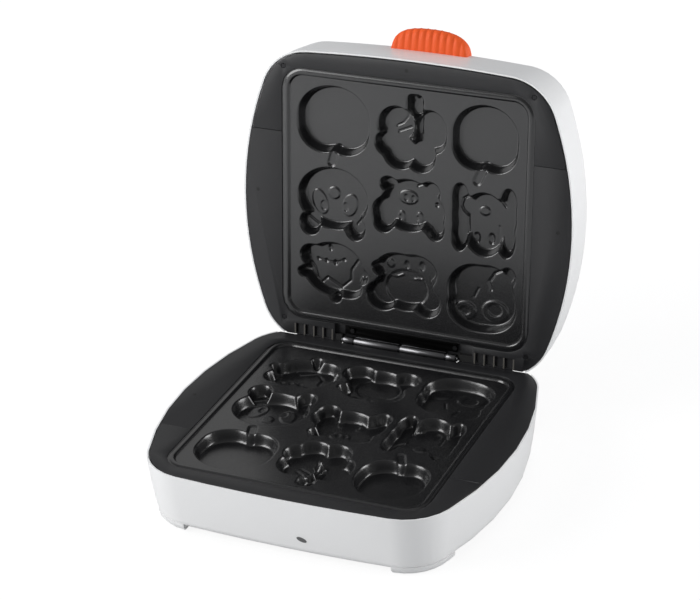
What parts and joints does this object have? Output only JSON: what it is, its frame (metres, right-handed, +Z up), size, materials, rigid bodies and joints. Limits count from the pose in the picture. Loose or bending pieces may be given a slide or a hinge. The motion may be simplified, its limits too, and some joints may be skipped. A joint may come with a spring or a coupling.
{
  "type": "biscuit maker",
  "caption": "Countertop biscuit maker: a square clamshell with moulded upper and lower plates, a hinged lid and a ribbed handle.",
  "frame": {"origin": "centre of the open object's bounding box in plan, on the surface that its foot pads stand on", "axes": "+X to the user's right, +Y from the front to the hinge, +Z up"},
  "size_m": [0.2326, 0.2626, 0.253],
  "materials": {
    "white_housing": "white moulded plastic, half gloss",
    "charcoal_surround": "charcoal moulded plastic, fine satin",
    "dark_plate": "cast aluminium under a dark non-stick coating",
    "orange_handle": "orange moulded plastic",
    "satin_steel": "satin steel",
    "dark_screw": "blackened steel",
    "screw_steel": "zinc-plated steel",
    "zinc_sheet": "zinc-coated sheet",
    "heater_sheath": "dull steel sheath",
    "lead_sleeve": "braided sleeve",
    "black_rubber": "black rubber",
    "thermostat_cup": "steel cup and strap",
    "cream_ceramic": "cream ceramic-like resin",
    "lamp_glass": "clear glass",
    "red_lens": "red tinted plastic",
    "green_lens": "green tinted plastic"
  },
  "bodies": {
    "base": {"base_bezel_front": "charcoal_surround", "base_bezel_rear": "charcoal_surround", "base_heat_shield": "zinc_sheet", "base_heater": "heater_sheath", "base_heater_lead_left": "lead_sleeve", "base_heater_lead_right": "lead_sleeve", "base_hinge_bracket": "satin_steel", "base_hinge_screw_left": "screw_steel", "base_hinge_screw_right": "screw_steel", "base_housing_screw_front_left": "screw_steel", "base_housing_screw_front_right": "screw_steel", "base_housing_screw_rear_left": "screw_steel", "base_housing_screw_rear_right": "screw_steel", "base_plate": "dark_plate", "base_shell": "white_housing", "base_shield_screw_front_left": "screw_steel", "base_shield_screw_front_right": "screw_steel", "base_shield_screw_rear_left": "screw_steel", "base_shield_screw_rear_right": "screw_steel", "cord_gland": "black_rubber", "foot_pad_front_left": "black_rubber", "foot_pad_front_right": "black_rubber", "foot_pad_rear_left": "black_rubber", "foot_pad_rear_right": "black_rubber", "hinge_pin": "satin_steel", "terminal_block": "cream_ceramic", "thermal_fuse": "cream_ceramic", "thermostat": "thermostat_cup", "thermostat_lead": "lead_sleeve"},
    "lid": {"indicator_lamp_power": "lamp_glass", "indicator_lamp_ready": "lamp_glass", "lid_bezel_front": "charcoal_surround", "lid_bezel_rear": "charcoal_surround", "lid_handle": "orange_handle", "lid_handle_screw_left": "screw_steel", "lid_handle_screw_right": "screw_steel", "lid_heat_shield": "zinc_sheet", "lid_heater": "heater_sheath", "lid_heater_lead_left": "lead_sleeve", "lid_heater_lead_right": "lead_sleeve", "lid_hinge_bracket": "satin_steel", "lid_hinge_screw_left": "dark_screw", "lid_hinge_screw_right": "dark_screw", "lid_housing_screw_front_left": "dark_screw", "lid_housing_screw_front_right": "dark_screw", "lid_housing_screw_rear_left": "dark_screw", "lid_housing_screw_rear_right": "dark_screw", "lid_plate": "dark_plate", "lid_shell": "white_housing", "lid_shield_screw_front_left": "screw_steel", "lid_shield_screw_front_right": "screw_steel", "lid_shield_screw_rear_left": "screw_steel", "lid_shield_screw_rear_right": "screw_steel", "power_lens": "red_lens", "ready_lens": "green_lens"}
  },
  "joints": [
    {"name": "lid_hinge", "type": "hinge", "parent": "base", "child": "lid", "pos_m": [0, 0.07024, 0.0438], "axis": [1, 0, 0], "range_deg": [0, 96]}
  ]
}
